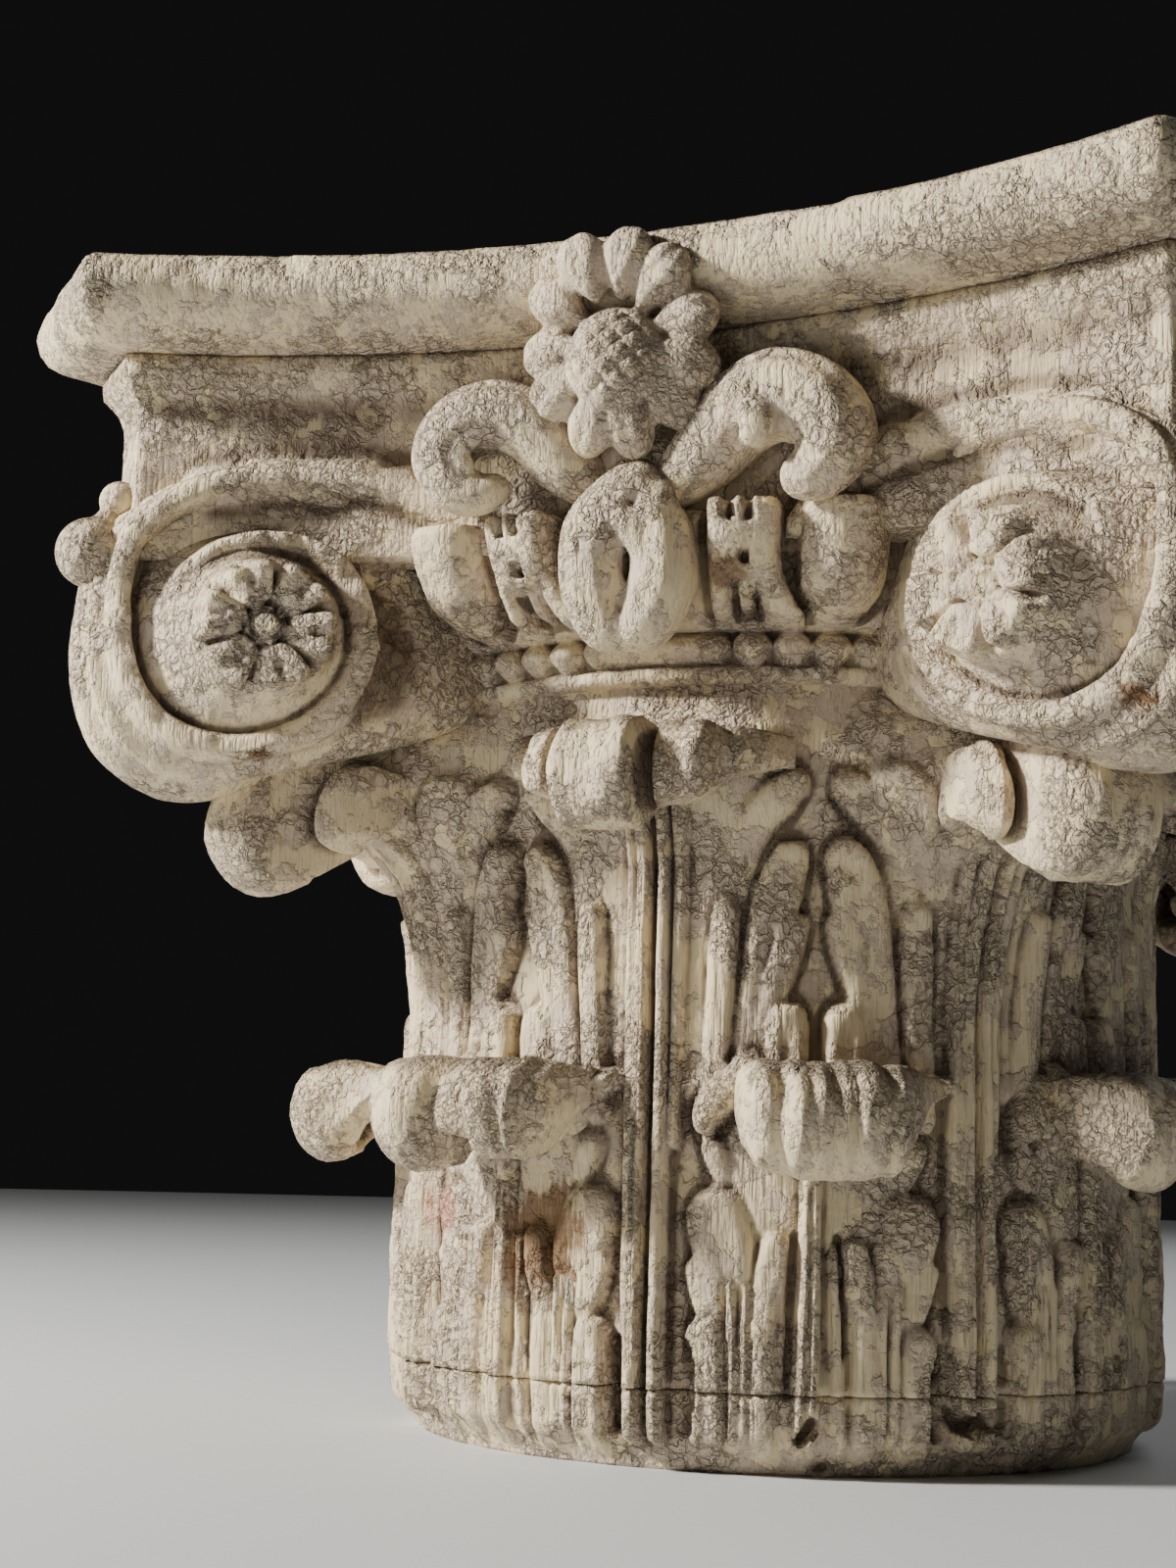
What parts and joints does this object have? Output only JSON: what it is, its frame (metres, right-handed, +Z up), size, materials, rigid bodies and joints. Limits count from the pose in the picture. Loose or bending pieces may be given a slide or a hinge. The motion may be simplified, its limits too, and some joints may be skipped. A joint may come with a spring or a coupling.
{
  "type": "composite-order column capital, carved wood",
  "caption": "Carved wooden column capital with two rows of acanthus leaves, corner volutes, egg-and-dart band and a concave-sided abacus with flowers.",
  "frame": {"origin": "middle of the flat underside of the base board", "axes": "+Z up along the axis of the column, -Y towards the front face, +X to the right of the front face"},
  "size_m": [0.4278, 0.4278, 0.369],
  "materials": {
    "painted_carving": "carved softwood under old cream oil paint, dried to small scales, dirt in the hollows",
    "painted_board": "wooden board under worn cream and grey paint layers, flaked along the moulding",
    "painted_flower": "carved flower under thick cream paint, dusty and browned in the hollows"
  },
  "bodies": {
    "root": {"base_board": "painted_carving", "capital_body": "painted_carving", "abacus_board": "painted_board", "flower_front": "painted_flower", "flower_right": "painted_flower", "flower_back": "painted_flower", "flower_left": "painted_flower"}
  },
  "joints": []
}
